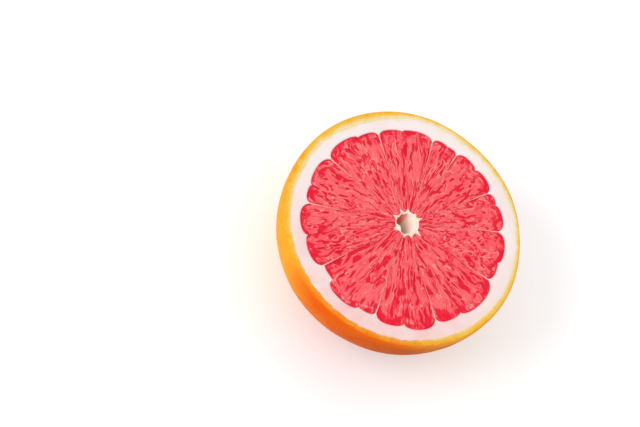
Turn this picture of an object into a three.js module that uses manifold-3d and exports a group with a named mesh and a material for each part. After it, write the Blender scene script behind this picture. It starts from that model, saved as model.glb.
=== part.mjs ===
// Half of a pink grapefruit, cut across its middle. It is one solid, as it grew.
// It stands on a small flat spot at its blossom end, with the cut face up.
// Millimetres, +Z up. The origin is under the middle of the cut face, on the rest spot.
import * as THREE from 'three';
import { mergeVertices } from 'three/addons/utils/BufferGeometryUtils.js';
import Module from 'manifold-3d';

const wasm = await Module();
wasm.setup();

// Driving dimensions, in millimetres.
const cutRadius = 52.5; // the cut face, out to the skin
const domeDepth = 56.5; // from the cut face down to the rest spot
const bellyDrop = 3.6; // the fruit is widest this far below the cut face
const restSpotRadius = 8;
const zestThickness = 2.3; // the coloured skin
const pithThickness = 5.9; // the white layer inside it
const unevenness = 0.006; // how far the outline swells and dips, as a share of its radius
const pulpSink = 0.8; // the juice segments lie this far below the pith
const membraneThickness = 0.7;
const notchDepth = 4; // the pith reaches in this far between two segments
const lobeDip = 1.6; // and this far between two lobes of one segment
const coreRadius = 4.4; // mouth of the hollow in the middle
const coreWall = 1.1; // the pale rim around that mouth
const coreDepth = 13;
const coreFloorRadius = 1.6;
const corePoints = 7; // torn points around the mouth
const corePointHeight = 0.5;
const coreOffset = [0.1, 1.9]; // the hollow grew a little off the middle
const skinSlope = 0.2; // rounding of the skin's cut edge

// Angles, in degrees, anticlockwise from +X.
const firstMembrane = 43.4;
const outlineTurn = 25; // where the outline swells most

// The eleven segments in order. Each lobe is [its width in degrees, how far it stands out past
// the pulp's usual radius in millimetres].
const segments = [
  [[16, 0.6], [8, -0.4]],
  [[15.3, 0.6], [13.7, 0.3]],
  [[7, -0.9], [9, -0.6]],
  [[19, -0.2], [14.7, -0.8]],
  [[12.8, -0.9], [22.5, 0.3]],
  [[20.5, 0.1], [11.2, -0.4]],
  [[19, 1.5], [19.3, 0.6]],
  [[10, -2.7], [20.5, 1.1], [10.5, -0.9]],
  [[17, 0.6], [19, 1.3]],
  [[16, -0.2], [27.7, 1.1]],
  [[12.3, -0.9], [19, 0.6]],
];

// Fineness of the mesh.
const turnSteps = 96;
const domeSteps = 20;
const lobeSteps = 6;
const coreSteps = 42;
const coreRings = 5;
const lobeRoundness = 2.4; // 2 is an ellipse, more is squarer

const pulpRadius = cutRadius - zestThickness - pithThickness;
const coreCentre = new THREE.Vector2(...coreOffset);
const pulpTip = coreRadius + corePointHeight + coreWall; // where a segment ends towards the middle
const clearance = 1; // how far a cutting body stands out of the face it cuts

const skin = new THREE.MeshStandardMaterial({ color: 0xf2a93a, roughness: 0.42, metalness: 0 });

// A closed mesh becomes a solid once its corners are shared.
function toSolid(geometry) {
  geometry.deleteAttribute('normal');
  geometry.deleteAttribute('uv');
  const merged = mergeVertices(geometry, 1e-4);
  const corners = merged.index.array;
  const triangles = [];
  for (let i = 0; i < corners.length; i += 3) {
    const [a, b, c] = corners.slice(i, i + 3);
    if (a !== b && b !== c && c !== a) triangles.push(a, b, c);
  }
  const mesh = new wasm.Mesh({
    numProp: 3,
    vertProperties: new Float32Array(merged.attributes.position.array),
    triVerts: new Uint32Array(triangles),
  });
  return new wasm.Manifold(mesh);
}

function toGeometry(solid) {
  const mesh = solid.getMesh();
  const geometry = new THREE.BufferGeometry();
  geometry.setAttribute('position', new THREE.BufferAttribute(mesh.vertProperties, 3));
  geometry.setIndex(new THREE.BufferAttribute(mesh.triVerts, 1));
  geometry.computeVertexNormals();
  return geometry;
}

// A profile of [radius, height] pairs, turned about +Z.
function turned(profile, steps) {
  const points = profile.map(([radius, height]) => new THREE.Vector2(radius, height));
  return new THREE.LatheGeometry(points, steps).rotateX(Math.PI / 2);
}

// Moves every corner outwards or inwards by a factor that depends on its angle.
function reshaped(geometry, factorAt) {
  const position = geometry.attributes.position;
  for (let i = 0; i < position.count; i++) {
    const factor = factorAt(Math.atan2(position.getY(i), position.getX(i)));
    position.setXY(i, position.getX(i) * factor, position.getY(i) * factor);
  }
  return geometry;
}

function outlineFactor(angle) {
  const turn = THREE.MathUtils.degToRad(outlineTurn);
  return 1 + unevenness * (Math.cos(2 * (angle - turn)) + 0.5 * Math.cos(3 * (angle + turn)));
}

// The dome is part of an ellipse: the cut face takes its top off just above the widest level,
// and the rest spot takes its bottom off.
function buildBody() {
  const flatShare = (restSpotRadius / cutRadius) ** 2;
  const bellyHeight = domeDepth - bellyDrop;
  const halfHeight = Math.sqrt((bellyHeight ** 2 - flatShare * bellyDrop ** 2) / (1 - flatShare));
  const bellyRadius = cutRadius / Math.sqrt(1 - (bellyDrop / halfHeight) ** 2);
  const firstAngle = -Math.asin(bellyHeight / halfHeight);
  const lastAngle = Math.asin((bellyDrop - skinSlope) / halfHeight);
  const profile = [[0, 0]];
  for (let i = 0; i <= domeSteps; i++) {
    const angle = THREE.MathUtils.lerp(firstAngle, lastAngle, i / domeSteps);
    const height = i === 0 ? 0 : bellyHeight + halfHeight * Math.sin(angle);
    profile.push([bellyRadius * Math.cos(angle), height]);
  }
  profile.push([cutRadius - skinSlope, domeDepth]);
  profile.push([0, domeDepth]);
  return toSolid(reshaped(turned(profile, turnSteps), outlineFactor));
}

// The outer edge of one segment's pulp, lobe by lobe, as [angle, radius] pairs.
function lobedEdge(lobes, startAngle) {
  const edge = [];
  let lobeStart = startAngle;
  lobes.forEach(([width, standOut], index) => {
    const peak = pulpRadius + standOut;
    const before = pulpRadius - (index === 0 ? notchDepth : lobeDip);
    const after = pulpRadius - (index === lobes.length - 1 ? notchDepth : lobeDip);
    for (let i = index === 0 ? 0 : 1; i <= lobeSteps; i++) {
      const across = Math.sin(Math.PI * (i / lobeSteps - 0.5)); // finer near the notches
      const base = Math.min(across < 0 ? before : after, peak);
      const rise = (1 - Math.abs(across) ** lobeRoundness) ** (1 / lobeRoundness);
      edge.push([lobeStart + width * (across + 1) / 2, base + (peak - base) * rise]);
    }
    lobeStart += width;
  });
  return edge;
}

// One segment's pulp is cut a little lower than the pith and the membranes beside it.
function buildPocket(lobes, startAngle, width) {
  const radians = THREE.MathUtils.degToRad;
  const edge = lobedEdge(lobes, startAngle);
  const points = edge.map(([angle, radius]) => {
    const middle = startAngle + width / 2;
    const inward = Math.asin(membraneThickness / 2 / radius) / radians(width / 2);
    const kept = radians(middle) + radians(angle - middle) * (1 - inward);
    return new THREE.Vector2(radius * Math.cos(kept), radius * Math.sin(kept));
  });
  // The inner end is a short arc about the core, between the two membranes.
  const first = points[0].clone().sub(coreCentre).angle();
  let last = points[points.length - 1].clone().sub(coreCentre).angle();
  if (last < first) last += 2 * Math.PI;
  const squeeze = Math.asin(membraneThickness / 2 / pulpTip);
  for (const share of [1, 0.5, 0]) {
    const angle = THREE.MathUtils.lerp(first + squeeze, last - squeeze, share);
    points.push(coreCentre.clone().add(
      new THREE.Vector2(pulpTip * Math.cos(angle), pulpTip * Math.sin(angle))));
  }
  const geometry = new THREE.ExtrudeGeometry(new THREE.Shape(points), {
    depth: pulpSink + clearance,
    bevelEnabled: false,
  });
  return toSolid(geometry.translate(0, 0, domeDepth - pulpSink));
}

// The hollow narrows downwards from a torn, starry mouth to a round floor.
function buildCoreHollow() {
  const profile = [[0, -coreDepth]];
  for (let i = 0; i <= coreRings; i++) {
    const share = i / coreRings;
    const radius = THREE.MathUtils.lerp(coreFloorRadius, coreRadius, Math.sqrt(share));
    profile.push([radius, THREE.MathUtils.lerp(-coreDepth + coreFloorRadius, 0, share)]);
  }
  profile.push([coreRadius, clearance]);
  profile.push([0, clearance]);
  const star = (angle) => 1 + corePointHeight / coreRadius * Math.cos(corePoints * angle);
  const hollow = reshaped(turned(profile, coreSteps), star);
  return toSolid(hollow.translate(coreCentre.x, coreCentre.y, domeDepth));
}

function buildHalf() {
  let half = buildBody();
  let startAngle = firstMembrane;
  for (const lobes of segments) {
    const width = lobes.reduce((sum, [lobeWidth]) => sum + lobeWidth, 0);
    half = half.subtract(buildPocket(lobes, startAngle, width));
    startAngle += width;
  }
  half = half.subtract(buildCoreHollow());
  // The uneven outline is brought back over the origin.
  const geometry = toGeometry(half);
  geometry.computeBoundingBox();
  const middle = geometry.boundingBox.getCenter(new THREE.Vector3());
  return geometry.translate(-middle.x, -middle.y, 0);
}

const grapefruitHalf = new THREE.Mesh(buildHalf(), skin);
grapefruitHalf.name = 'grapefruit_half';

const part = new THREE.Group();
part.add(grapefruitHalf);

export default part;
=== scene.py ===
import math

import bmesh
import bpy
import numpy as np
from mathutils import Matrix, Vector


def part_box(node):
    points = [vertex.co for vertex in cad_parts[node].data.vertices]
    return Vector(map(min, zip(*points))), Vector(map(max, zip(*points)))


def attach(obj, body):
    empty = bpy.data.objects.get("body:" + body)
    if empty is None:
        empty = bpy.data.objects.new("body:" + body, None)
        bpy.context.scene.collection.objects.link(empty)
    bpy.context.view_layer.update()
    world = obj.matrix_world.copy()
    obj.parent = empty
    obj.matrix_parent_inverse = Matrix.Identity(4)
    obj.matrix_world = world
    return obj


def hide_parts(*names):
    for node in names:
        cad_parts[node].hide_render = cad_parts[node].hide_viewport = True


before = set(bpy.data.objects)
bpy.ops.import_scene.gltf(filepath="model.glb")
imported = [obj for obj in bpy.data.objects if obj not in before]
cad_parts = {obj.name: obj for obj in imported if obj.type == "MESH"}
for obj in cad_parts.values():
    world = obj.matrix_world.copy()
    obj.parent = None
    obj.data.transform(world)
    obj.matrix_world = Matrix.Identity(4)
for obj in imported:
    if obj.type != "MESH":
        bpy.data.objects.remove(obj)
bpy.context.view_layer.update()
nodeLow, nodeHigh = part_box("grapefruit_half")
mm = 0.001  # sizes below are in millimetres, and meshes are written in metres
print("frame loaded")

# The layout that every piece shares. The overall sizes come from the frame.
fruit = {
    "node": "grapefruit_half",
    "height": nodeHigh.z / mm,
    "bellyRadius": (nodeHigh.x - nodeLow.x + nodeHigh.y - nodeLow.y) / 4 / mm,
    "bellyDrop": 3.6,  # the fruit is widest this far below the cut
    "restSpot": 8.0,
    "zest": 2.3,
    "pith": 5.9,
    "uneven": 0.006,
    "unevenTurn": 25.0,
    # swells and thicker skin, each as millimetres, its place in degrees from +X and its spread
    "swells": [(0.5, 318, 45), (-0.9, 38, 24), (-1.0, 91, 24)],
    "skinRing": 2.2,  # width of the coloured ring on the cut
    "thickSkin": [(1.2, 91, 20), (2.1, 151, 24), (1.0, 198, 16)],
    "skinWander": 0.42,  # how far the skin's inner edge strays
    "notch": 4.0,  # the pith reaches in this far between two segments
    "dip": 1.6,  # and this far between two lobes
    "coreMiddle": (0.1, 1.9),
    "coreMouth": 4.4,
    "coreRim": 1.6,
    "firstMembrane": 43.4,  # degrees from +X, anticlockwise
    "lobeRoundness": 2.4,  # 2 is an ellipse, more is squarer
    # each lobe is its width in degrees and how far it stands out of the pulp's usual edge
    "segments": [
        [(16.0, 0.6), (8.0, -0.4)],
        [(15.3, 0.6), (13.7, 0.3)],
        [(7.0, -0.9), (9.0, -0.6)],
        [(19.0, -0.2), (14.7, -0.8)],
        [(12.8, -0.9), (22.5, 0.3)],
        [(20.5, 0.1), (11.2, -0.4)],
        [(19.0, 1.5), (19.3, 0.6)],
        [(10.0, -2.7), (20.5, 1.1), (10.5, -0.9)],
        [(17.0, 0.6), (19.0, 1.3)],
        [(16.0, -0.2), (27.7, 1.1)],
        [(12.3, -0.9), (19.0, 0.6)],
    ],
}
bellyHeight = fruit["height"] - fruit["bellyDrop"]
halfHeight = bellyHeight / math.sqrt(1 - (fruit["restSpot"] / fruit["bellyRadius"]) ** 2)
cutRadius = fruit["bellyRadius"] * math.sqrt(1 - (fruit["bellyDrop"] / halfHeight) ** 2)
pulpEdge = cutRadius - fruit["zest"] - fruit["pith"]
pulpTip = fruit["coreMouth"] + fruit["coreRim"]
coreMiddle = np.array(fruit["coreMiddle"])


def smooth(low, high, x):
    t = np.clip((x - low) / (high - low), 0.0, 1.0)
    return t * t * (3 - 2 * t)


def hump(x, middle, width):
    # 1 at the middle, fading on both sides
    return np.exp(-((x - middle) / width) ** 2)


def around(angle, place, spread):
    # 1 at a place in degrees, fading over a spread in degrees
    apart = np.abs((np.degrees(angle) - place + 180) % 360 - 180)
    return hump(apart, 0, spread)


def aroundAll(angle, places):
    # several places at once, each with its amount
    return sum(amount * around(angle, place, spread) for amount, place, spread in places)


def steadyRandom(cells, seed):
    # the same random number for the same whole-number cell, every run
    primes = (374761393, 668265263, 1103515245)
    h = np.full(cells.shape[:-1], seed * 2654435761, dtype=np.int64)
    for axis in range(cells.shape[-1]):
        h = h + cells[..., axis] * primes[axis]
    h = h & 0xFFFFFFFF
    h = ((h ^ (h >> 13)) * 1274126177) & 0xFFFFFFFF
    return ((h ^ (h >> 16)) & 0xFFFF) / 65535.0


def cellPattern(points, seed, looseness=0.9):
    # for each point: distance to the nearest and second nearest scattered seed,
    # the nearest one's own number, and the way from that seed to the point
    base = np.floor(points).astype(np.int64)
    count, axes = points.shape
    nearest = np.full(count, 9.0)
    second = np.full(count, 9.0)
    tone = np.zeros(count)
    offset = np.zeros((count, axes))
    steps = np.stack(np.meshgrid(*[[-1, 0, 1]] * axes, indexing="ij"), -1).reshape(-1, axes)
    for step in steps:
        cell = base + step
        jitter = np.stack([steadyRandom(cell, seed + 11 * k) for k in range(axes)], -1)
        away = cell + 0.5 + (jitter - 0.5) * looseness - points
        distance = np.sqrt((away * away).sum(-1))
        closer = distance < nearest
        second = np.where(closer, nearest, np.minimum(second, distance))
        tone = np.where(closer, steadyRandom(cell, seed + 77), tone)
        offset = np.where(closer[:, None], -away, offset)
        nearest = np.where(closer, distance, nearest)
    return nearest, second, tone, offset


def softNoise(points, seed, octaves=2):
    # smooth noise between -1 and 1
    total = np.zeros(len(points))
    weight, scale, reach = 0.0, 1.0, 1.0
    axes = points.shape[1]
    corners = np.stack(np.meshgrid(*[[0, 1]] * axes, indexing="ij"), -1).reshape(-1, axes)
    for octave in range(octaves):
        p = points * scale
        base = np.floor(p).astype(np.int64)
        f = p - base
        f = f * f * (3 - 2 * f)
        value = np.zeros(len(points))
        for corner in corners:
            share = np.prod(np.where(corner == 1, f, 1 - f), axis=-1)
            value += share * steadyRandom(base + corner, seed + 101 * octave)
        total += (value * 2 - 1) * reach
        weight += reach
        scale *= 2.1
        reach *= 0.5
    return total / weight


def columns(*values):
    return np.stack(np.broadcast_arrays(*values), -1)


# The cut face: its lobes, and the edges of pulp, pith and skin

def listLobes():
    found = []
    start = 0.0
    for segment, lobes in enumerate(fruit["segments"]):
        for place, (width, standOut) in enumerate(lobes):
            before = fruit["notch"] if place == 0 else fruit["dip"]
            after = fruit["notch"] if place == len(lobes) - 1 else fruit["dip"]
            peak = pulpEdge + standOut
            found.append((segment, start, width, peak, pulpEdge - before, pulpEdge - after))
            start += width
    return found


lobeList = listLobes()
segmentCount = len(fruit["segments"])
segmentStarts = [min(lobe[1] for lobe in lobeList if lobe[0] == k) for k in range(segmentCount)]
segmentWidths = [sum(lobe[0] for lobe in lobes) for lobes in fruit["segments"]]


def lobedEdge(turn):
    # the pulp's outer edge, for an angle in degrees counted from the first membrane
    turn = np.mod(turn, 360.0)
    edge = np.zeros_like(turn)
    roundness = fruit["lobeRoundness"]
    for _, start, width, peak, before, after in lobeList:
        inside = (turn >= start - 1e-9) & (turn <= start + width + 1e-9)
        across = np.clip(2 * (turn - start) / width - 1, -1, 1)
        base = np.minimum(np.where(across < 0, before, after), peak)
        rise = (1 - np.abs(across) ** roundness) ** (1 / roundness)
        edge = np.where(inside, base + (peak - base) * rise, edge)
    return edge


def outline(angle):
    # how far the fruit swells or dips at an angle in radians from +X
    turn = math.radians(fruit["unevenTurn"])
    return 1 + fruit["uneven"] * (np.cos(2 * (angle - turn)) + 0.5 * np.cos(3 * (angle + turn)))


def skinSwell(angle):
    # the fruit is full at one place and a little flat at two others
    return aroundAll(angle, fruit["swells"])


def pithEdge(angle):
    # where the white pith meets the coloured skin
    ring = columns(np.cos(angle), np.sin(angle))
    wander = fruit["skinWander"] * softNoise(ring * 24 + 7, 33, 3)
    return cutRadius - fruit["skinRing"] - aroundAll(angle, fruit["thickSkin"]) + wander


def cutRelief(points):
    # the soft unevenness that the knife left on skin and pith alike
    return 0.06 * softNoise(points / 1.3 + 11, 71, 3) + 0.1 * softNoise(points / 6 + 5, 72, 2)


# Making objects

def readPoints(mesh):
    points = np.empty(len(mesh.vertices) * 3)
    mesh.vertices.foreach_get("co", points)
    return points.reshape(-1, 3)


def writePoints(mesh, points):
    mesh.vertices.foreach_set("co", (points * mm).astype(np.float32).ravel())
    mesh.update()


def keepNumbers(mesh, name, values):
    layer = mesh.attributes.new(name, "FLOAT", "POINT")
    layer.data.foreach_set("value", np.asarray(values, np.float32))


def toMesh(bm, name):
    for face in bm.faces:
        face.smooth = True
    mesh = bpy.data.meshes.new(name)
    bm.to_mesh(mesh)
    bm.free()
    return mesh


def wrappedGrid(name, rows, steps):
    # a flat grid whose columns will go right round the fruit and whose rows follow a profile
    bm = bmesh.new()
    bmesh.ops.create_grid(bm, x_segments=steps, y_segments=rows - 1, size=1.0)
    mesh = toMesh(bm, name)
    q = readPoints(mesh)
    angle = q[:, 0] * math.pi
    row = np.rint((q[:, 1] + 1) / 2 * (rows - 1)).astype(int)
    return mesh, angle, row


def closeSeams(mesh):
    # joins the first and last columns and the poles, and turns every face outwards
    bm = bmesh.new()
    bm.from_mesh(mesh)
    bmesh.ops.remove_doubles(bm, verts=bm.verts, dist=1e-7)
    bmesh.ops.recalc_face_normals(bm, faces=bm.faces)
    bm.to_mesh(mesh)
    bm.free()


def addPiece(mesh, material):
    piece = bpy.data.objects.new(mesh.name, mesh)
    bpy.context.scene.collection.objects.link(piece)
    mesh.materials.append(material)
    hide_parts(fruit["node"])
    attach(piece, "root")
    print("made", mesh.name, len(mesh.polygons), "faces")
    return piece


class Nodes:
    # short calls for building a node tree
    def __init__(self, name):
        self.material = bpy.data.materials.new(name)
        self.material.use_nodes = True
        self.tree = self.material.node_tree
        self.shader = self.tree.nodes["Principled BSDF"]

    def link(self, source, target):
        self.tree.links.new(source, target)

    def put(self, target, value):
        if isinstance(value, bpy.types.NodeSocket):
            self.link(value, target)
        else:
            target.default_value = value

    def own(self, name):
        # a number that the mesh keeps at each point
        node = self.tree.nodes.new("ShaderNodeAttribute")
        node.attribute_name = name
        return node.outputs["Fac"]

    def place(self, scale=(1, 1, 1)):
        coords = self.tree.nodes.new("ShaderNodeTexCoord")
        mapping = self.tree.nodes.new("ShaderNodeMapping")
        mapping.inputs["Scale"].default_value = scale
        self.link(coords.outputs["Object"], mapping.inputs["Vector"])
        return mapping.outputs["Vector"]

    def along(self, first, second, scale):
        # a place made of two of the mesh's own numbers, for patterns that follow the flesh
        join = self.tree.nodes.new("ShaderNodeCombineXYZ")
        mapping = self.tree.nodes.new("ShaderNodeMapping")
        mapping.inputs["Scale"].default_value = scale
        self.link(self.own(first), join.inputs["X"])
        self.link(self.own(second), join.inputs["Y"])
        self.link(join.outputs["Vector"], mapping.inputs["Vector"])
        return mapping.outputs["Vector"]

    def noise(self, vector, scale, detail=3.0, roughness=0.5, distortion=0.0):
        node = self.tree.nodes.new("ShaderNodeTexNoise")
        self.link(vector, node.inputs["Vector"])
        node.inputs["Scale"].default_value = scale
        node.inputs["Detail"].default_value = detail
        node.inputs["Roughness"].default_value = roughness
        node.inputs["Distortion"].default_value = distortion
        return node.outputs["Fac"]

    def cells(self, vector, scale, feature="F1", randomness=1.0):
        node = self.tree.nodes.new("ShaderNodeTexVoronoi")
        node.feature = feature
        self.link(vector, node.inputs["Vector"])
        node.inputs["Scale"].default_value = scale
        node.inputs["Randomness"].default_value = randomness
        return node.outputs["Distance"]

    def math(self, operation, a, b=0.0, clamp=False):
        node = self.tree.nodes.new("ShaderNodeMath")
        node.operation = operation
        node.use_clamp = clamp
        self.put(node.inputs[0], a)
        self.put(node.inputs[1], b)
        return node.outputs[0]

    def range(self, value, low, high, toLow=0.0, toHigh=1.0):
        node = self.tree.nodes.new("ShaderNodeMapRange")
        node.interpolation_type = "SMOOTHSTEP"
        self.put(node.inputs["Value"], value)
        node.inputs["From Min"].default_value = low
        node.inputs["From Max"].default_value = high
        node.inputs["To Min"].default_value = toLow
        node.inputs["To Max"].default_value = toHigh
        return node.outputs["Result"]

    def mix(self, share, first, second):
        node = self.tree.nodes.new("ShaderNodeMix")
        node.data_type = "RGBA"
        self.put(node.inputs["Factor"], share)
        self.put(node.inputs[6], (*first, 1) if isinstance(first, tuple) else first)
        self.put(node.inputs[7], (*second, 1) if isinstance(second, tuple) else second)
        return node.outputs[2]

    def bump(self, height, strength, distance, under=None):
        node = self.tree.nodes.new("ShaderNodeBump")
        self.link(height, node.inputs["Height"])
        node.inputs["Strength"].default_value = strength
        node.inputs["Distance"].default_value = distance
        if under is not None:
            self.link(under, node.inputs["Normal"])
        return node.outputs["Normal"]

    def finish(self, colour, roughness, normal, settings):
        self.put(self.shader.inputs["Base Color"], colour)
        self.put(self.shader.inputs["Roughness"], roughness)
        self.link(normal, self.shader.inputs["Normal"])
        for name, value in settings.items():
            self.shader.inputs[name].default_value = value
        return self.material


# Zest: the coloured skin, with its oil-gland pores and its cut ring

zest = {
    "steps": 520,
    "rows": 160,
    "ringRows": 10,
    "innerRows": 8,
    "poreSize": 1.45,
    "poreWidth": 0.3,  # as a share of its size
    "poreDepth": 0.13,
    "lumps": 0.16,
    "lumpSize": 16.0,
    "edgeRound": 0.8,
    "scarSize": 2.2,
    "scarDepth": 0.5,
    # places on the skin, in degrees from +X
    # the red-orange here is partly the skin's own blush and partly painted reflected red light
    "blushAndReflectionStart": (236, 268),
    "blushAndReflectionEnd": (302, 340),
    "faintBlush": (0.3, 100, 40),
    # painted shade: the skin is coloured darker towards the bottom on this side
    "paintedShadePlace": (1.0, 316, 34),
    "creamSides": [(0.16, 130, 50), (-0.3, 284, 64)],  # more and less cream in the cut ring
    "sunny": (0.728, 0.337, 0.017),
    "golden": (0.728, 0.274, 0.011),
    "blushAndReflection": (0.700, 0.088, 0.0005),
    "paintedShadeSkin": (0.400, 0.060, 0.0005),
    "pore": (0.657, 0.172, 0.003),
    "cutCream": (0.752, 0.611, 0.360),
    "cutYellow": (0.728, 0.439, 0.059),
    "gland": (0.720, 0.313, 0.024),
    "scar": (0.24, 0.13, 0.05),
}


def zestMaterial():
    n = Nodes("waxyZest")
    here = n.place()
    patches = n.noise(here, 22.0, 3.0)
    fine = n.noise(here, 420.0, 3.0)
    tinyPores = n.cells(here, 1150.0)
    skin = n.mix(n.range(patches, 0.36, 0.66), zest["sunny"], zest["golden"])
    # blush that is partly the skin's own colour and partly painted reflected red light
    skin = n.mix(n.own("blushAndReflection"), skin, zest["blushAndReflection"])
    # painted shade darkens the skin towards the bottom on one side
    skin = n.mix(n.own("paintedShadeSkin"), skin, zest["paintedShadeSkin"])
    skin = n.mix(n.math("MULTIPLY", n.own("pore"), 0.6), skin, zest["pore"])
    # the cut ring fades raggedly from the skin's colour into the cream of the pith
    ragged = n.range(n.noise(here, 1300.0, 3.0, 0.6), 0.25, 0.75, -0.15, 0.15)
    wander = n.range(n.noise(here, 240.0, 2.0), 0.3, 0.7, -0.12, 0.12)
    inward = n.math("ADD", n.own("ringShare"), n.math("ADD", ragged, wander))
    glands = n.range(n.cells(here, 900.0), 0.1, 0.4, 0.35, 0.0)
    cutSkin = n.mix(n.math("MULTIPLY", n.own("blushAndReflection"), 0.75), zest["cutYellow"], zest["blushAndReflection"])
    band = n.mix(n.range(inward, 0.0, 0.5), skin, cutSkin)
    band = n.mix(n.math("MULTIPLY", glands, n.range(inward, 0.9, 0.5)), band, zest["gland"])
    band = n.mix(n.range(inward, 0.48, 1.12), band, zest["cutCream"])
    colour = n.mix(n.own("cutRing"), skin, band)
    colour = n.mix(n.own("scar"), colour, zest["scar"])
    small = n.bump(n.range(tinyPores, 0.0, 0.55), 0.5, 0.00016)
    normal = n.bump(fine, 0.22, 0.0001, small)
    roughness = n.range(fine, 0.3, 0.7, 0.34, 0.48)
    return n.finish(colour, roughness, normal, {
        "Subsurface Weight": 0.1,
        "Subsurface Radius": (0.0018, 0.0007, 0.0002),
        "Subsurface Scale": 1.0,
        "Specular IOR Level": 0.01,
        "IOR": 1.45,
    })


def zestProfile():
    # each row of the skin: which part it belongs to, and how far along that part
    rows = [("spot", i / 6) for i in range(6)]
    rows += [("dome", i / zest["rows"]) for i in range(zest["rows"])]
    rows += [("edge", i / 6) for i in range(1, 6)]
    rows += [("ring", i / zest["ringRows"]) for i in range(zest["ringRows"] + 1)]
    rows += [("inside", i / zest["innerRows"]) for i in range(1, zest["innerRows"] + 1)]
    return rows


def makeZest():
    profile = zestProfile()
    mesh, angle, row = wrappedGrid("zest", len(profile), zest["steps"])
    part = np.array([name for name, _ in profile])[row]
    along = np.array([share for _, share in profile])[row]
    top, r = fruit["height"], zest["edgeRound"]
    first = -math.asin(bellyHeight / halfHeight)
    last = math.asin((fruit["bellyDrop"] - r) / halfHeight)
    t = first + (last - first) * along
    quarter = along * math.pi / 2
    inner = pithEdge(angle)
    swell = skinSwell(angle)
    skinRadius = fruit["bellyRadius"] * np.cos(t) * outline(angle) + swell * np.cos(t) ** 2
    domeHeight = np.maximum(bellyHeight + halfHeight * np.sin(t), 0)
    rim = fruit["bellyRadius"] * math.cos(last) * outline(angle) + swell * math.cos(last) ** 2
    flat = np.select(
        [part == "spot", part == "dome", part == "edge", part == "ring"],
        [fruit["restSpot"] * along * outline(angle), skinRadius,
         rim - r * (1 - np.cos(quarter)), rim - r + (inner - rim + r) * along],
        inner * np.cos(quarter),
    )
    z = np.select(
        [part == "spot", part == "dome", part == "edge", part == "ring"],
        [0 * t, domeHeight, top - r + r * np.sin(quarter), top + 0 * t],
        top - (top - fruit["zest"]) * np.sin(quarter),
    )
    p = columns(flat * np.cos(angle), flat * np.sin(angle), z)
    # pores and gentle lumps are pushed straight out of the dome
    out = p - np.array([0, 0, bellyHeight])
    out /= np.maximum(np.linalg.norm(out, axis=1), 1e-6)[:, None]
    near, _, tone, _ = cellPattern(p / zest["poreSize"] + 40, 5)
    pore = hump(near, 0, zest["poreWidth"]) * (0.45 + 0.55 * tone)
    skinSide = (part == "dome") | (part == "spot")
    standing = smooth(0.2, 3.0, z) * smooth(r, r + 1.5, top - z) * skinSide
    lift = zest["lumps"] * softNoise(p / zest["lumpSize"] + 90, 21, 3) - zest["poreDepth"] * pore
    p = p + out * (lift * standing)[:, None]
    # the stylar scar in the middle of the rest spot
    scar = np.where(skinSide & (z < 1.0), hump(flat, 0, zest["scarSize"]), 0.0)
    p[:, 2] += scar * zest["scarDepth"]
    onCut = (part == "ring") | (part == "edge")
    relief = cutRelief(p * np.array([1, 1, 0]))
    p[:, 2] += np.where(part == "ring", relief, np.where(part == "edge", relief * along, 0))
    writePoints(mesh, p)
    fromRim = np.clip((rim - flat) / np.maximum(rim - inner, 0.1), 0, 1)
    mottle = 0.95 + 0.35 * softNoise(p / 13 + 60, 61, 3)
    degrees = np.degrees(angle) % 360 + 5 * softNoise(p / 18 + 70, 62, 2)
    # partly real blush and partly painted reflected red light on this side, with a faint real blush on the
    # far side
    blushAndReflectionShare = smooth(*zest["blushAndReflectionStart"], degrees) * smooth(*reversed(zest["blushAndReflectionEnd"]), degrees)
    blushAndReflectionShare = blushAndReflectionShare + aroundAll(angle, [zest["faintBlush"]]) * smooth(5, 14, top - z)
    # painted shade, strongest low on the dome around this place
    paintedShade = aroundAll(angle, [zest["paintedShadePlace"]]) * smooth(-3, 9, top - z)
    creamSide = aroundAll(angle, zest["creamSides"]) * smooth(0.2, 0.6, fromRim)
    keepNumbers(mesh, "paintedShadeSkin", np.clip(paintedShade * mottle, 0, 1))
    keepNumbers(mesh, "pore", pore * skinSide)
    keepNumbers(mesh, "cutRing", smooth(0.0, 0.08, fromRim) * onCut)
    keepNumbers(mesh, "ringShare", np.where(onCut, fromRim + creamSide, 0))
    keepNumbers(mesh, "scar", scar * 0.9)
    keepNumbers(mesh, "blushAndReflection", np.clip(blushAndReflectionShare * smooth(-4.0, 2.5, top - z) * mottle, 0, 1))
    closeSeams(mesh)
    return addPiece(mesh, zestMaterial())


# Pith: the white bowl inside the skin, with a scalloped inner edge

pith = {
    "steps": 1440,
    "topRows": 16,
    "wallRows": 5,
    "wallDepth": 2.2,
    "bowlRows": 8,
    "tuck": 0.12,  # the pith reaches this far under the skin's cut edge
    "lower": 0.015,
    "lip": 0.2,
    # painted shade: the pith is coloured pinker and darker on these sides
    "shadedPinkSides": [(1.0, 300, 62), (0.3, 240, 40)],
    "creamless": [(0.24, 275, 62)],  # less cream beside the reddest skin
    "white": (0.755, 0.665, 0.642),
    "pink": (0.735, 0.455, 0.430),
    "cream": (0.752, 0.618, 0.385),
    "juicy": (0.720, 0.090, 0.105),
    "speck": (0.62, 0.30, 0.14),
}


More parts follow.
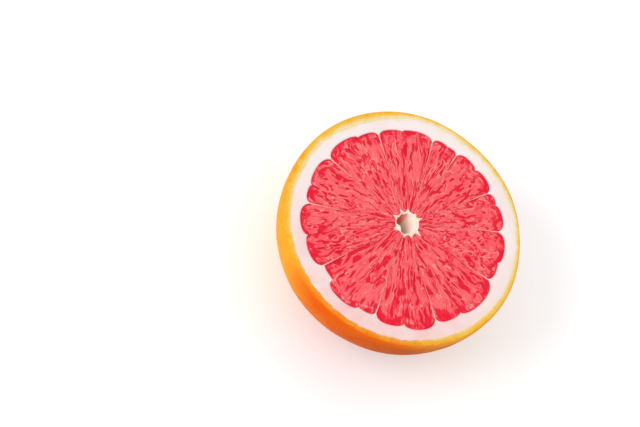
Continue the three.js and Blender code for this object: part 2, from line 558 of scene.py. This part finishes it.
def pithMaterial():
    n = Nodes("spongyPith")
    here = n.place()
    broad = n.noise(here, 60.0, 3.0)
    blotch = n.noise(here, 190.0, 4.0, 0.6)
    sponge = n.noise(here, 900.0, 4.0, 0.65)
    # pinker on one side as painted shade, and pinker in broad random patches
    pinkness = n.math("ADD", n.own("shadedPinkSide"), n.range(broad, 0.45, 0.75, 0.0, 0.22), clamp=True)
    colour = n.mix(pinkness, pith["white"], pith["pink"])
    colour = n.mix(n.range(blotch, 0.55, 0.8, 0.0, 0.3), colour, pith["cream"])
    # the last bit before the skin turns cream, unevenly
    outer = n.math("ADD", n.own("outerShare"), n.range(blotch, 0.3, 0.7, -0.12, 0.12))
    colour = n.mix(n.range(outer, 0.66, 1.02), colour, pith["cream"])
    specks = n.math("MULTIPLY", n.range(n.cells(here, 420.0), 0.10, 0.04), n.range(outer, 0.6, 0.8, 0.0, 0.5))
    colour = n.mix(specks, colour, pith["speck"])
    colour = n.mix(n.own("juiceStain"), colour, pith["juicy"])
    normal = n.bump(sponge, 0.35, 0.00014, n.bump(blotch, 0.25, 0.0003))
    return n.finish(colour, 0.62, normal, {
        "Subsurface Weight": 0.3,
        "Subsurface Radius": (0.002, 0.0012, 0.001),
        "Subsurface Scale": 1.0,
        "Specular IOR Level": 0.3,
    })


def makePith():
    top = fruit["height"]
    rows = [("out", i / pith["bowlRows"]) for i in range(pith["bowlRows"] + 1)]
    rows += [("top", i / pith["topRows"]) for i in range(1, pith["topRows"] + 1)]
    rows += [("wall", i / pith["wallRows"]) for i in range(1, pith["wallRows"] + 1)]
    rows += [("in", i / pith["bowlRows"]) for i in range(1, pith["bowlRows"] + 1)]
    mesh, angle, row = wrappedGrid("pith", len(rows), pith["steps"])
    part = np.array([name for name, _ in rows])[row]
    along = np.array([share for _, share in rows])[row]
    outer = pithEdge(angle) + pith["tuck"]
    inner = lobedEdge(np.degrees(angle) - fruit["firstMembrane"])
    quarter = along * math.pi / 2
    bowl = top - fruit["zest"] - 0.3
    floorDepth = bowl - fruit["pith"]
    isTop = part == "top"
    radius = np.select(
        [part == "out", isTop, part == "wall"],
        [outer * np.sin(quarter), outer + (inner - outer) * along, inner - 0.3 * along],
        (inner - 0.3) * np.cos(quarter),
    )
    height = np.select(
        [part == "out", isTop, part == "wall"],
        [top - bowl * np.cos(quarter), top + 0 * along, top - pith["wallDepth"] * along],
        top - pith["wallDepth"] - (floorDepth - pith["wallDepth"]) * np.sin(quarter),
    )
    p = columns(radius * np.cos(angle), radius * np.sin(angle), height)
    # soft spongy relief on the cut, rounding down at the pulp's edge
    fromEdge = np.maximum(radius - inner, 0)
    onCut = isTop | ((part == "out") & (along > 0.999))
    lip = pith["lip"] * (1 - smooth(0.0, 0.6, fromEdge))
    p[:, 2] += np.where(onCut, cutRelief(p * np.array([1, 1, 0])) - lip - pith["lower"], 0)
    p[:, 2] -= np.where(part == "wall", pith["lip"] * (1 - along), 0)
    writePoints(mesh, p)
    outerShare = np.clip(fromEdge / (outer - inner) - aroundAll(angle, pith["creamless"]), 0, 1)
    keepNumbers(mesh, "outerShare", np.where(onCut, outerShare, 0))
    stain = np.where(onCut, 0.7 * np.exp(-fromEdge / 0.2), 1.0)
    keepNumbers(mesh, "juiceStain", stain)
    blot = 0.8 + 0.5 * softNoise(p / 4.5 + 33, 73, 2)
    # painted shade, pinker and darker on one side
    shadedPinkSide = aroundAll(angle, pith["shadedPinkSides"])
    keepNumbers(mesh, "shadedPinkSide", np.clip(0.85 * shadedPinkSide * blot, 0, 1))
    closeSeams(mesh)
    return addPiece(mesh, pithMaterial())


# Pulp: eleven segments of juice vesicles

pulp = {
    "acrossPerDegree": 5.5,
    "along": 230,
    "depths": [0.5, 1.4, 3.5, 9.0, 18.0, 28.0, 36.0],
    "fullDepth": 43.0,
    "sink": 0.2,
    "wallDrop": 0.14,
    "wallReach": 0.45,
    "sideDrop": 0.03,
    "sideReach": 0.3,
    "tipDrop": 0.3,
    "tipReach": 3.0,
    "tipTuck": 0.9,  # the tips reach this far under the core's rim
    "tipWander": 0.35,
    "outerGap": 0.2,
    "innerGap": 0.0,
    "sway": 0.55,
    "fan": 0.6,  # 1 runs the flesh straight at the core, 0 runs it level with the segment
    "bendReach": 8.0,
    "waveAcross": 1.1,
    "waveAlong": 1.6,
    "wriggle": 0.35,
    "foldWidth": 1.9,
    "foldLength": 5.5,
    "creaseWidth": 0.075,
    "streakWidth": 0.95,
    "streakLength": 2.6,
    "tearWidth": 1.5,
    "tearLength": 4.0,
    "tearsInside": 0.06,  # share of the sacs torn near the core
    "tearsOutside": 0.14,  # and how many more near the wall
    "rimDepth": 3.6,
    "rimWander": 3.4,
    "curlLength": 3.4,
    "curlWidth": 1.7,
    # for each segment: how long its grain is, and how far the flesh bends on its way in
    "grain": [0.6, 0.9, 1.5, 1.5, 1.0, 0.8, 1.0, 1.4, 1.5, 1.1, 0.6],
    "bend": [0.3, 0.1, -0.2, 0.1, -0.5, 0.4, 0.6, 0.2, 0.3, 0.9, 0.6],
    "coral": (0.759, 0.060, 0.082),
    "light": (0.767, 0.114, 0.126),
    "pale": (0.792, 0.259, 0.237),
    "deep": (0.664, 0.005, 0.025),
    "dark": (0.528, 0.004, 0.018),
    "rim": (0.728, 0.002, 0.027),
    "edge": (0.520, 0.010, 0.024),
}


def pulpMaterial():
    n = Nodes("juicyPulp")
    here = n.place()
    patches = n.noise(here, 110.0, 3.0)
    fine = n.noise(here, 900.0, 3.0)
    fibres = n.noise(n.along("fleshAcross", "fleshAlong", (2.1, 0.32, 1)), 1.0, 3.0, 0.6)
    threads = n.noise(n.along("fleshAcross", "fleshAlong", (3.3, 0.42, 1)), 1.0, 2.0, 0.5, 0.6)
    colour = n.mix(n.own("vesicleTone"), pulp["coral"], pulp["light"])
    colour = n.mix(n.range(patches, 0.4, 0.7, 0.0, 0.35), colour, pulp["light"])
    colour = n.mix(n.own("rimShare"), colour, pulp["rim"])
    colour = n.mix(n.range(fibres, 0.52, 0.72, 0.0, 0.3), colour, pulp["pale"])
    colour = n.mix(n.range(threads, 0.44, 0.32, 0.0, 0.4), colour, pulp["deep"])
    # pale threads and curls, with painted highlights beside the creases
    colour = n.mix(n.own("palenessAndHighlight"), colour, pulp["pale"])
    # deeper red in creases, streaks, hollows and tears, partly painted shade
    colour = n.mix(n.range(n.own("redness"), 0.0, 0.8), colour, pulp["deep"])
    colour = n.mix(n.range(n.own("redness"), 0.8, 1.0, 0.0, 0.6), colour, pulp["dark"])
    colour = n.mix(n.own("edgeLine"), colour, pulp["edge"])
    normal = n.bump(fibres, 0.3, 0.00025, n.bump(fine, 0.15, 0.0001))
    roughness = n.range(fine, 0.3, 0.7, 0.25, 0.42)
    return n.finish(colour, roughness, normal, {
        "Subsurface Weight": 0.2,
        "Subsurface Radius": (0.0022, 0.0003, 0.0003),
        "Subsurface Scale": 1.0,
        "Specular IOR Level": 0.2,
        "Coat Weight": 0.03,
        "Coat Roughness": 0.15,
        "IOR": 1.36,
    })


def membraneSway(boundary, r):
    # the walls between the segments aren't quite straight
    ends = smooth(0, 9, r - pulpTip) * smooth(0, 7, pulpEdge - fruit["notch"] - r)
    return pulp["sway"] * softNoise(columns(r / 6.0 + 13.7 * boundary, 0 * r), 81, 2) * ends


def growGrid(across, along, layers):
    # a flat grid with walls of several layers hanging from its edge
    bm = bmesh.new()
    bmesh.ops.create_grid(bm, x_segments=across, y_segments=along, size=1.0)
    loop = [edge for edge in bm.edges if edge.is_boundary]
    for _ in range(layers):
        made = bmesh.ops.extrude_edge_only(bm, edges=loop)["geom"]
        newVerts = [item for item in made if isinstance(item, bmesh.types.BMVert)]
        newEdges = [item for item in made if isinstance(item, bmesh.types.BMEdge)]
        bmesh.ops.translate(bm, vec=(0, 0, -1), verts=newVerts)
        fresh = set(newVerts)
        loop = [edge for edge in newEdges if fresh.issuperset(edge.verts)]
    return bm, loop, newVerts


def fleshPattern(index, flat, r, sideways, phi, toWall):
    # how red, pale and raised the flesh is at each point of a segment's cut
    grain = pulp["grain"][index]
    wave = softNoise(flat / 6.5 + 31 * index, 13, 2)
    waveAlong = softNoise(flat / 5 + 17 * index + 50, 14, 2)
    bend = pulp["bend"][index] * pulp["bendReach"] * (1 - r / pulpEdge) ** 2
    wriggle = pulp["wriggle"] * softNoise(flat / 1.7 + 3 * index, 18, 1)
    fanned = sideways / (r / pulpEdge) ** pulp["fan"]
    across = fanned + bend + pulp["waveAcross"] * wave + wriggle
    along = r + pulp["waveAlong"] * waveAlong
    # creases between the juice sacs, each a thin deeper red line that is partly real and partly painted
    # shade, with a painted highlight along one side
    place = columns(across / pulp["foldWidth"], along / (pulp["foldLength"] * grain))
    fold = softNoise(place + 100 * index + 50, 3, 2)
    place = columns(across / pulp["streakWidth"], along / (pulp["streakLength"] * grain))
    streak = softNoise(place + 70 * index + 20, 8, 2)
    patch = smooth(-0.5, 0.3, softNoise(flat / 3.6 + 9 * index, 15, 2))
    deepened = smooth(-0.35, 0.15, softNoise(flat / 2.3 + index, 20, 2))
    crease = hump(fold, 0, pulp["creaseWidth"]) * deepened
    highlightSide = hump(fold, 0.17, 0.08) * (0.35 + 0.65 * deepened)
    darkStreak = smooth(-0.22, -0.36, streak) * patch
    paleStreak = hump(streak, -0.10, 0.08) * patch
    # the lowest parts of the folds are coloured deeper red, partly painted shade
    hollow = smooth(-0.30, -0.46, fold)
    # tears, the sacs that the knife opened
    place = columns(along / (pulp["tearLength"] * grain), across / pulp["tearWidth"])
    near, _, tone, offset = cellPattern(place + 40 * index + 10, 19)
    opened = tone < pulp["tearsInside"] + pulp["tearsOutside"] * smooth(10, 32, r)
    tear = opened * smooth(0.40, 0.26, near * (1 + 0.7 * offset[:, 0]))
    # curls of deeper red just inside the wall
    alongWall = np.radians(phi) * pulpEdge
    reach = pulp["rimDepth"] + pulp["rimWander"] * softNoise(flat / 4.2 + 5 * index + 7, 23, 2)
    rim = smooth(1.6, -1.6, toWall - reach)
    place = columns(alongWall / pulp["curlLength"] + 0.7 * wave, toWall / pulp["curlWidth"] + 1.1 * waveAlong)
    curl = softNoise(place + 9 * index, 24, 2)
    deepRim = np.maximum(rim * smooth(0.2, 0.04, curl), 0.75 * smooth(1.5, 0.5, toWall))
    paleCurl = rim * hump(curl, 0.2, 0.09) * smooth(0.3, 1.0, toWall)
    # what shows red (partly painted shade), what shows pale (partly painted highlight), and how the cut rises
    # and falls with them
    red = np.maximum(np.maximum(0.8 * crease, 0.75 * darkStreak), np.maximum(0.75 * hollow, 0.95 * tear))
    red = np.maximum(red * (1 - 0.4 * rim), 0.6 * rim * smooth(-0.2, -0.4, curl))
    pale = np.maximum(0.85 * highlightSide, 0.6 * paleStreak) * (1 - 0.6 * rim) + 0.75 * paleCurl
    lift = 0.12 * fold + 0.08 * streak - 0.12 * crease - 0.06 * darkStreak - 0.2 * tear
    lift = lift + 0.15 * rim * curl + 0.12 * pale + 0.2 * softNoise(flat / 3 + 5 * index, 16, 2) - 0.1
    return {
        "vesicleTone": np.clip(0.4 + 0.5 * fold + 0.5 * streak + 0.5 * softNoise(flat / 3, 26, 2), 0, 1),
        "redness": np.clip(red, 0, 1),
        "palenessAndHighlight": np.clip(pale * (1 - red), 0, 1),
        "rimShare": np.clip(0.92 * deepRim + 0.1 * rim, 0, 1),
        "fleshAcross": across,
        "fleshAlong": along,
    }, lift


def makeSegment(index, material):
    start = segmentStarts[index]
    width = segmentWidths[index]
    layers = len(pulp["depths"])
    bm, _, last = growGrid(int(width * pulp["acrossPerDegree"]), pulp["along"], layers)
    bmesh.ops.pointmerge(bm, verts=last, merge_co=(0, 0, -layers))
    bmesh.ops.recalc_face_normals(bm, faces=bm.faces)
    mesh = toMesh(bm, "segment_%02d" % (index + 1))
    q = readPoints(mesh)
    u, v, layer = q[:, 0], (q[:, 1] + 1) / 2, np.rint(-q[:, 2]).astype(int)
    phi = width * (1 - u) / 2  # degrees across the segment
    share = phi / width
    # the wall is the lobed edge, and the inner end is an arc about the core
    turn = np.radians(fruit["firstMembrane"] + start + phi)
    edge = lobedEdge(np.clip(start + phi, start + 1e-4, start + width - 1e-4))
    outerPoint = columns(edge * np.cos(turn), edge * np.sin(turn))
    ends = np.radians(fruit["firstMembrane"] + np.array([start, start + width]))
    endPoints = (pulpEdge - fruit["notch"]) * columns(np.cos(ends), np.sin(ends)) - coreMiddle
    seen = np.unwrap(np.arctan2(endPoints[:, 1], endPoints[:, 0]))
    tipAngle = seen[0] + (seen[1] - seen[0]) * share
    tipNoise = softNoise(columns(tipAngle * 3, 0 * tipAngle) + index * 7, 91, 2)
    tipRadius = pulpTip - pulp["tipTuck"] + pulp["tipWander"] * tipNoise
    innerPoint = coreMiddle + columns(np.cos(tipAngle), np.sin(tipAngle)) * tipRadius[:, None]
    flat = innerPoint + (outerPoint - innerPoint) * v[:, None]
    away = flat - coreMiddle
    r = np.linalg.norm(away, axis=1)
    tangent = columns(-away[:, 1], away[:, 0]) / r[:, None]
    following = (index + 1) % segmentCount
    sway = (1 - share) * membraneSway(index, r) + share * membraneSway(following, r)
    gap = pulp["innerGap"] + (pulp["outerGap"] - pulp["innerGap"]) * smooth(0.5, 0.95, v)
    flat = flat + tangent * (sway + gap * (1 - 2 * share) ** 3)[:, None]
    length = np.linalg.norm(outerPoint - innerPoint, axis=1)
    toSide = np.radians(np.minimum(phi, width - phi)) * r
    toWall = (1 - v) * length
    middle = np.mean(seen)
    sideways = away @ np.array([-math.sin(middle), math.cos(middle)])
    numbers, lift = fleshPattern(index, flat, r, sideways, phi, toWall)
    height = lift - pulp["sink"] - pulp["sideDrop"] * np.exp(-toSide / pulp["sideReach"])
    height -= pulp["wallDrop"] * np.exp(-toWall / pulp["wallReach"])
    height -= pulp["tipDrop"] * smooth(pulp["tipReach"], 0.3, r - pulpTip)
    depths = np.array([0.0] + pulp["depths"])[layer]
    shrink = np.sqrt(np.clip(1 - (depths / pulp["fullDepth"]) ** 2, 0, 1))
    flat = coreMiddle + (flat - coreMiddle) * shrink[:, None]
    writePoints(mesh, columns(flat[:, 0], flat[:, 1], fruit["height"] - depths + height))
    for name, values in numbers.items():
        keepNumbers(mesh, name, values)
    sideLine = 0.2 * (1 - smooth(0.0, 0.3, toSide)) * smooth(0.1, 0.5, v)
    keepNumbers(mesh, "edgeLine", np.maximum(0.4 * (1 - smooth(0.0, 0.32, toWall)), sideLine))
    return addPiece(mesh, material)


# Membranes: the thin walls between the segments

membranes = {
    "along": 90,
    "across": 4,
    "depths": [0.8, 8.0, 36.0],
    "outerWidth": 0.5,
    "innerWidth": 0.16,
    "outerSink": 0.08,
    "innerSink": 0.22,
    "coreReach": 0.8,  # the membranes run this far into the core's rim
    "pithReach": 1.2,  # and this far into the pith
    "pale": (0.840, 0.360, 0.325),
    "inward": (0.840, 0.205, 0.185),
}


def membraneMaterial():
    n = Nodes("thinMembrane")
    here = n.place()
    fibre = n.noise(here, 500.0, 3.0)
    colour = n.mix(n.own("inwardShare"), membranes["pale"], membranes["inward"])
    colour = n.mix(n.range(fibre, 0.45, 0.75, 0.0, 0.15), colour, pith["white"])
    normal = n.bump(fibre, 0.25, 0.0001)
    return n.finish(colour, 0.45, normal, {
        "Subsurface Weight": 0.3,
        "Subsurface Radius": (0.002, 0.0006, 0.0005),
        "Subsurface Scale": 1.0,
        "Specular IOR Level": 0.3,
    })


def makeMembranes(material):
    for index in range(segmentCount):
        bm, loop, _ = growGrid(membranes["across"], membranes["along"], len(membranes["depths"]))
        bmesh.ops.contextual_create(bm, geom=loop)
        bmesh.ops.recalc_face_normals(bm, faces=bm.faces)
        mesh = toMesh(bm, "membrane_%02d" % (index + 1))
        q = readPoints(mesh)
        u, v, layer = q[:, 0], (q[:, 1] + 1) / 2, np.rint(-q[:, 2]).astype(int)
        angle = math.radians(fruit["firstMembrane"] + segmentStarts[index])
        outward = np.array([math.cos(angle), math.sin(angle)])
        way = (pulpEdge - fruit["notch"] + membranes["pithReach"]) * outward - coreMiddle
        length = np.linalg.norm(way)
        way = way / length
        side = np.array([-way[1], way[0]])
        begin = pulpTip - membranes["coreReach"]
        run = begin + (length - begin) * v
        wider = membranes["outerWidth"] - membranes["innerWidth"]
        width = membranes["innerWidth"] + wider * smooth(0.5, 1.0, v)
        offset = membraneSway(index, run) - u * width / 2  # u runs clockwise
        flat = coreMiddle + way * run[:, None] + side * offset[:, None]
        depths = np.array([0.0] + membranes["depths"])[layer]
        limit = np.sqrt(np.clip(1 - (depths / (pulp["fullDepth"] + 2)) ** 2, 0, 1))
        flat = flat * limit[:, None]
        sink = membranes["outerSink"] + membranes["innerSink"] * smooth(0.85, 0.5, v)
        crest = sink + 0.12 * u * u + 0.08 * softNoise(flat / 1.2 + 3, 82, 2)
        writePoints(mesh, columns(flat[:, 0], flat[:, 1], fruit["height"] - crest - depths))
        keepNumbers(mesh, "inwardShare", smooth(1.0, 0.82, v) * 0.95)
        addPiece(mesh, material)


# Core: the torn, hollow middle

core = {
    "steps": 420,
    "depth": 12.5,
    "rimSink": 0.95,
    "rimFall": 0.55,  # the hollow begins this far below the cut
    "tornRise": 0.5,
    "floor": 2.0,
    "skirt": 9.0,
    "lean": (-1.9, -1.6),  # the hollow slants this way on its way down
    # torn points: where they lie in degrees from +X, and how far they reach from the middle
    "points": [
        (157, 6.6),
        (128, 6.4),
        (92, 6.1),
        (66, 6.9),
        (0, 7.6),
        (-33, 6.2),
        (-63, 5.8),
        (-110, 7.4),
        (-167, 6.6),
    ],
    # the mouth is drawn in by a broad torn flap, and is wider at two places
    "mouthSwells": [(-1.5, 250, 18), (0.6, 286, 12), (0.5, 215, 20)],
    "flapReach": (1.3, 250, 12),
    "cream": (0.765, 0.58, 0.44),
    "white": (0.752, 0.681, 0.618),
    "pink": (0.80, 0.27, 0.20),
    # painted shade colour for the deep, unlit side of the hollow
    "shadeBrown": (0.62, 0.11, 0.10),
    # painted light: a paler colour that stands in for the light the deep hollow doesn't get
    "hollow": (0.95, 0.83, 0.70),
}


def coreMaterial():
    n = Nodes("fibrousCore")
    here = n.place((1, 1, 0.35))
    fibre = n.noise(here, 900.0, 4.0, 0.6)
    broad = n.noise(here, 260.0, 3.0)
    colour = n.mix(n.range(broad, 0.35, 0.65), core["cream"], core["white"])
    # painted light: the hollow's wall is made paler than the rim
    colour = n.mix(n.own("hollowLightShare"), colour, core["hollow"])
    # painted shade: pinker and browner deeper in the hollow and on the side turned from the light
    deep = n.own("paintedShadeShare")
    colour = n.mix(n.range(deep, 0.15, 0.75), colour, core["pink"])
    colour = n.mix(n.range(deep, 0.65, 1.0), colour, core["shadeBrown"])
    colour = n.mix(n.own("rimStain"), colour, core["pink"])
    normal = n.bump(fibre, 0.4, 0.0002)
    return n.finish(colour, 0.55, normal, {
        "Subsurface Weight": 0.2,
        "Subsurface Radius": (0.0015, 0.0009, 0.0006),
        "Subsurface Scale": 1.0,
        "Specular IOR Level": 0.3,
    })


def makeCore(material):
    top = fruit["height"]
    rows = [("under", 1.0)]
    rows += [("skirt", i / 5) for i in range(6)]
    rows += [("rim", i / 8) for i in range(8)]
    rows += [("hollow", i / 20) for i in range(21)]
    rows += [("floor", 1.0)]
    mesh, angle, row = wrappedGrid("core", len(rows), core["steps"])
    part = np.array([name for name, _ in rows])[row]
    share = np.array([value for _, value in rows])[row]
    ring = columns(np.cos(angle), np.sin(angle))
    mouth = fruit["coreMouth"] + 0.1 + 0.4 * softNoise(ring * 3.1 + 5, 51, 3)
    mouth += aroundAll(angle, core["mouthSwells"])
    reach = mouth + 0.7 + 0.35 * softNoise(ring * 2.3 + 9, 52, 2)
    torn = 0 * angle
    for place, far in core["points"]:
        here = around(angle, place, 6.5)
        reach = np.maximum(reach, reach + (far - fruit["coreMouth"] - 0.6) * here)
        mouth = mouth + 0.35 * around(angle, place, 8.0)
        torn = np.maximum(torn, here)
    reach = np.maximum(reach, 5.4 + aroundAll(angle, [core["flapReach"]]))
    crumble = softNoise(columns(ring[:, 0] * 9, ring[:, 1] * 9, share * 4) + 4, 53, 3)
    inHollow = part == "hollow"
    narrow = mouth + (core["floor"] - mouth) * share ** 1.1 + 0.3 * crumble * (1 - share)
    # strands run down the hollow's wall
    strands = smooth(0.1, 0.5, softNoise(columns(angle * 3.5, share * 0.8), 54, 2))
    narrow -= 0.35 * strands * smooth(0, 0.3, share)
    radius = np.select(
        [part == "skirt", part == "rim", inHollow],
        [reach + 0.2, reach + (mouth - reach) * share, narrow],
        0.0,
    )
    # the rim rises out of the flesh, highest at the torn points, and rolls into the hollow
    rimRise = -core["rimSink"] + core["tornRise"] * torn + (0.7 - 0.4 * torn) * smooth(0, 0.45, share)
    rimRise -= 0.3 * smooth(0.6, 1.0, share)
    hollowHeight = -core["rimFall"] - core["depth"] * share ** 1.2 + 0.2 * crumble * (1 - share)
    height = np.select(
        [part == "skirt", part == "rim", inHollow, part == "floor"],
        [-1.0 + 0.4 * torn - core["skirt"] * (1 - share), rimRise + 0.2 * crumble,
         hollowHeight, -core["rimFall"] - core["depth"]],
        -3.0 - core["depth"],
    )
    lower = inHollow | (part == "floor") | (part == "under")
    slant = np.where(lower, share, 0.0)[:, None] * np.array(core["lean"])
    flat = coreMiddle + slant + ring * radius[:, None]
    writePoints(mesh, columns(flat[:, 0], flat[:, 1], top + height))
    # painted shade: the hollow's wall is pinker and browner deeper down and on the side that faces away from
    # the light, lighter on the lit side
    shade = 0.16 + 0.34 * share + 0.84 * around(angle, 172, 50) - 0.5 * around(angle, 10, 62) + 0.15 * crumble
    shade = np.clip(shade, 0, 1) * smooth(0.0, 0.12, share)
    stain = 0.6 * (1 - smooth(0.0, 0.5, share))
    # painted light inside the hollow
    keepNumbers(mesh, "hollowLightShare", np.where(inHollow, smooth(0.0, 0.2, share), part == "floor"))
    keepNumbers(mesh, "paintedShadeShare", np.where(inHollow, shade, 0.75 * (part == "floor")))
    keepNumbers(mesh, "rimStain", np.where(part == "rim", stain, 0.8 * (part == "skirt")))
    closeSeams(mesh)
    return addPiece(mesh, material)


makeZest()
makePith()
pulpSkin = pulpMaterial()
for segmentIndex in range(segmentCount):
    makeSegment(segmentIndex, pulpSkin)
makeMembranes(membraneMaterial())
makeCore(coreMaterial())


# Studio: floor, light and camera

studio = {
    "floorSize": 8.0,
    "floorColour": (0.95, 0.95, 0.95),
    "skyColour": (0.97, 0.98, 1.0),
    "skyStrength": 1.08,
    "keyPlace": (-1.6, -1.7, 2.0),
    "keySize": 1.8,
    "keyPower": 36.0,
    "cameraDistance": 1.0,
    "lens": 134.0,
    "elevation": 62.0,
    "roll": 43.4,
    "aimRight": 0.0357,
    "aimUp": -0.0052,
}


def makeFloor():
    bm = bmesh.new()
    bmesh.ops.create_circle(bm, cap_ends=True, segments=96, radius=studio["floorSize"])
    mesh = toMesh(bm, "studioFloor")
    floor = bpy.data.objects.new("studioFloor", mesh)
    bpy.context.scene.collection.objects.link(floor)
    n = Nodes("paleFloor")
    soft = n.noise(n.place(), 3.0, 2.0)
    tint = n.mix(soft, studio["floorColour"], tuple(0.99 * c for c in studio["floorColour"]))
    normal = n.bump(soft, 0.05, 0.0005)
    mesh.materials.append(n.finish(tint, 0.8, normal, {"Specular IOR Level": 0.1}))


def makeLight():
    data = bpy.data.lights.new("keyLight", "AREA")
    data.shape = "DISK"
    data.size = studio["keySize"]
    data.energy = studio["keyPower"]
    lamp = bpy.data.objects.new("keyLight", data)
    lamp.location = studio["keyPlace"]
    target = Vector((0, 0, fruit["height"] * mm))
    lamp.rotation_euler = (target - lamp.location).to_track_quat("-Z", "Y").to_euler()
    bpy.context.scene.collection.objects.link(lamp)
    world = bpy.data.worlds.new("studioSky")
    world.use_nodes = True
    sky = world.node_tree.nodes["Background"]
    sky.inputs["Color"].default_value = (*studio["skyColour"], 1)
    sky.inputs["Strength"].default_value = studio["skyStrength"]
    bpy.context.scene.world = world
    bpy.context.scene.view_settings.view_transform = "Standard"


def makeCamera():
    elevation, roll = math.radians(studio["elevation"]), math.radians(studio["roll"])
    back = Vector((0, -math.cos(elevation), math.sin(elevation)))
    upright = Vector((0, math.sin(elevation), math.cos(elevation)))
    right = Vector((1, 0, 0)) * math.cos(roll) + upright * math.sin(roll)
    up = upright * math.cos(roll) - Vector((1, 0, 0)) * math.sin(roll)
    middle = Vector((0, 0, fruit["height"] * mm))
    eye = middle + back * studio["cameraDistance"]
    # the camera aims to the left of the fruit, so the fruit stands right of the view's middle
    aim = middle - right * studio["aimRight"] - up * studio["aimUp"]
    back = (eye - aim).normalized()
    right = up.cross(back).normalized()
    up = back.cross(right)
    data = bpy.data.cameras.new("camera")
    data.lens = studio["lens"]
    data.sensor_width = 36.0
    camera = bpy.data.objects.new("camera", data)
    turn = Matrix((right, up, back)).transposed().to_4x4()
    camera.matrix_world = Matrix.Translation(eye) @ turn
    bpy.context.scene.collection.objects.link(camera)
    bpy.context.scene.camera = camera


makeFloor()
makeLight()
makeCamera()
print("studio ready")
